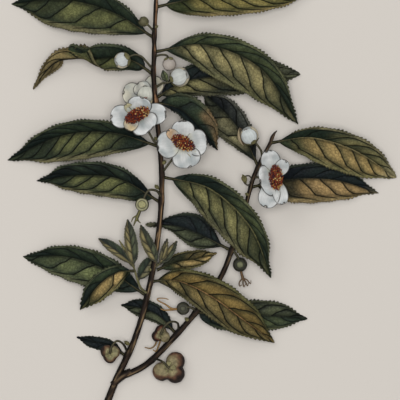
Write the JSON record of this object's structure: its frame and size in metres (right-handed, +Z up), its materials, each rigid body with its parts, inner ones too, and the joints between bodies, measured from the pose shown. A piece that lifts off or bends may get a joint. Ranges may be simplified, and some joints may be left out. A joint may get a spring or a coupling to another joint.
{
  "type": "flowering tea branch",
  "caption": "Cut, woody tea branch lying flat: folded leathery leaves, young shoots, white flowers with domed stamens, round buds, young fruits and lobed capsules on two stems.",
  "frame": {"origin": "middle of the branch's bounding box, on the surface that it lies on", "axes": "+Y along the branch from the cut end to the young tip, +Z up from the surface that it lies on"},
  "size_m": [0.254, 0.3476, 0.0296],
  "materials": {
    "stem": "smooth brown bark",
    "leaf": "leathery, half glossy, dark green",
    "ochre_leaf": "leathery, half glossy, olive ochre",
    "young_leaf": "soft, downy, light olive",
    "petal": "matt white",
    "stamen": "fine, mealy, rust brown",
    "young_fruit": "matt olive",
    "capsule": "matt brown shell"
  },
  "bodies": {
    "root": {"main_stem": "stem", "side_branch": "stem", "left_shoot": "young_leaf", "right_shoot": "young_leaf", "top_shoot": "young_leaf", "leaf_left_1": "leaf", "leaf_left_2": "leaf", "leaf_left_3": "leaf", "leaf_left_4": "leaf", "leaf_left_5": "leaf", "leaf_left_6": "ochre_leaf", "leaf_left_7": "leaf", "leaf_left_8": "leaf", "leaf_left_9": "leaf", "leaf_right_1": "ochre_leaf", "leaf_right_2": "leaf", "leaf_right_3": "leaf", "leaf_right_4": "leaf", "leaf_right_5": "leaf", "leaf_right_6": "ochre_leaf", "leaf_right_7": "ochre_leaf", "leaf_right_8": "leaf", "leaf_right_9": "leaf", "leaf_right_10": "ochre_leaf", "leaf_right_11": "leaf", "leaf_right_12": "leaf", "leaf_top_1": "leaf", "leaf_top_2": "leaf", "flower_1": "petal", "flower_2": "petal", "flower_3": "petal", "flower_4": "petal", "stamens_1": "stamen", "stamens_2": "stamen", "stamens_3": "stamen", "stamens_4": "stamen", "bud_1": "young_fruit", "bud_2": "petal", "bud_3": "petal", "bud_4": "petal", "bud_5": "petal", "young_fruit_1": "young_fruit", "young_fruit_2": "young_fruit", "young_fruit_3": "young_fruit", "capsule_1": "capsule", "capsule_2": "capsule", "capsule_3": "capsule"}
  },
  "joints": []
}
